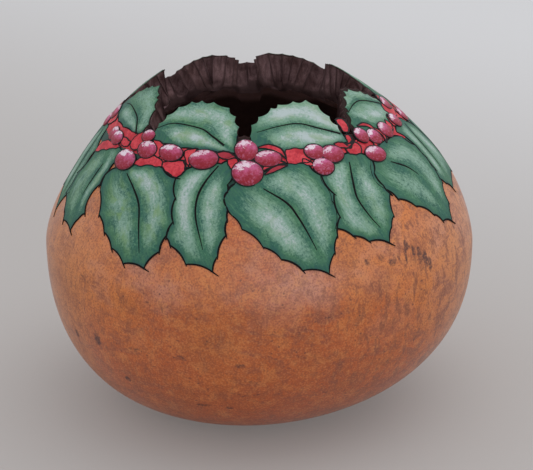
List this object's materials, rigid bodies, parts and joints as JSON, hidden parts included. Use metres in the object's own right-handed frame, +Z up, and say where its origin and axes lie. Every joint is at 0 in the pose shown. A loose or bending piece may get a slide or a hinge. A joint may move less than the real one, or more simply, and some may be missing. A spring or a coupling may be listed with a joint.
{
  "type": "decorative gourd",
  "caption": "Round dried gourd bowl with a scalloped, fluted carved mouth and a painted holly, berry and ribbon garland on its shoulder; stands on its own flat foot.",
  "frame": {"origin": "on the floor under the middle of the widest part", "axes": "+Z up out of the mouth, -Y to the front that the picture shows, +X to the viewer's right"},
  "size_m": [0.2197, 0.2195, 0.1717],
  "materials": {
    "rind": "dried gourd rind, orange tan, mottled, satin wax",
    "wall": "carved corky wall stained dark brown, matt",
    "leaf_paint": "brushed acrylic, greens with pale highlights, satin",
    "berry_paint": "acrylic, crimson shading to pink with a white light, satin gloss",
    "ribbon_paint": "acrylic, bright red, satin"
  },
  "bodies": {
    "root": {"outer_skin": "rind", "inner_wall": "wall", "upper_leaf_1": "leaf_paint", "upper_leaf_2": "leaf_paint", "upper_leaf_3": "leaf_paint", "upper_leaf_4": "leaf_paint", "upper_leaf_5": "leaf_paint", "upper_leaf_6": "leaf_paint", "upper_leaf_7": "leaf_paint", "upper_leaf_8": "leaf_paint", "lower_leaf_1": "leaf_paint", "lower_leaf_2": "leaf_paint", "lower_leaf_3": "leaf_paint", "lower_leaf_4": "leaf_paint", "lower_leaf_5": "leaf_paint", "lower_leaf_6": "leaf_paint", "lower_leaf_7": "leaf_paint", "lower_leaf_8": "leaf_paint", "lower_leaf_9": "leaf_paint", "lower_leaf_10": "leaf_paint", "lower_leaf_11": "leaf_paint", "lower_leaf_12": "leaf_paint", "lower_leaf_13": "leaf_paint", "lower_leaf_14": "leaf_paint", "lower_leaf_15": "leaf_paint", "lower_leaf_16": "leaf_paint", "ribbon": "ribbon_paint", "berry_1": "berry_paint", "berry_2": "berry_paint", "berry_3": "berry_paint", "berry_4": "berry_paint", "berry_5": "berry_paint", "berry_6": "berry_paint", "berry_7": "berry_paint", "berry_8": "berry_paint", "berry_9": "berry_paint", "berry_10": "berry_paint", "berry_11": "berry_paint", "berry_12": "berry_paint", "berry_13": "berry_paint", "berry_14": "berry_paint", "berry_15": "berry_paint", "berry_16": "berry_paint", "berry_17": "berry_paint", "berry_18": "berry_paint", "berry_19": "berry_paint", "berry_20": "berry_paint", "berry_21": "berry_paint", "berry_22": "berry_paint", "berry_23": "berry_paint", "berry_24": "berry_paint", "berry_25": "berry_paint", "berry_26": "berry_paint", "berry_27": "berry_paint", "berry_28": "berry_paint", "berry_29": "berry_paint", "berry_30": "berry_paint", "berry_31": "berry_paint", "berry_32": "berry_paint"}
  },
  "joints": []
}
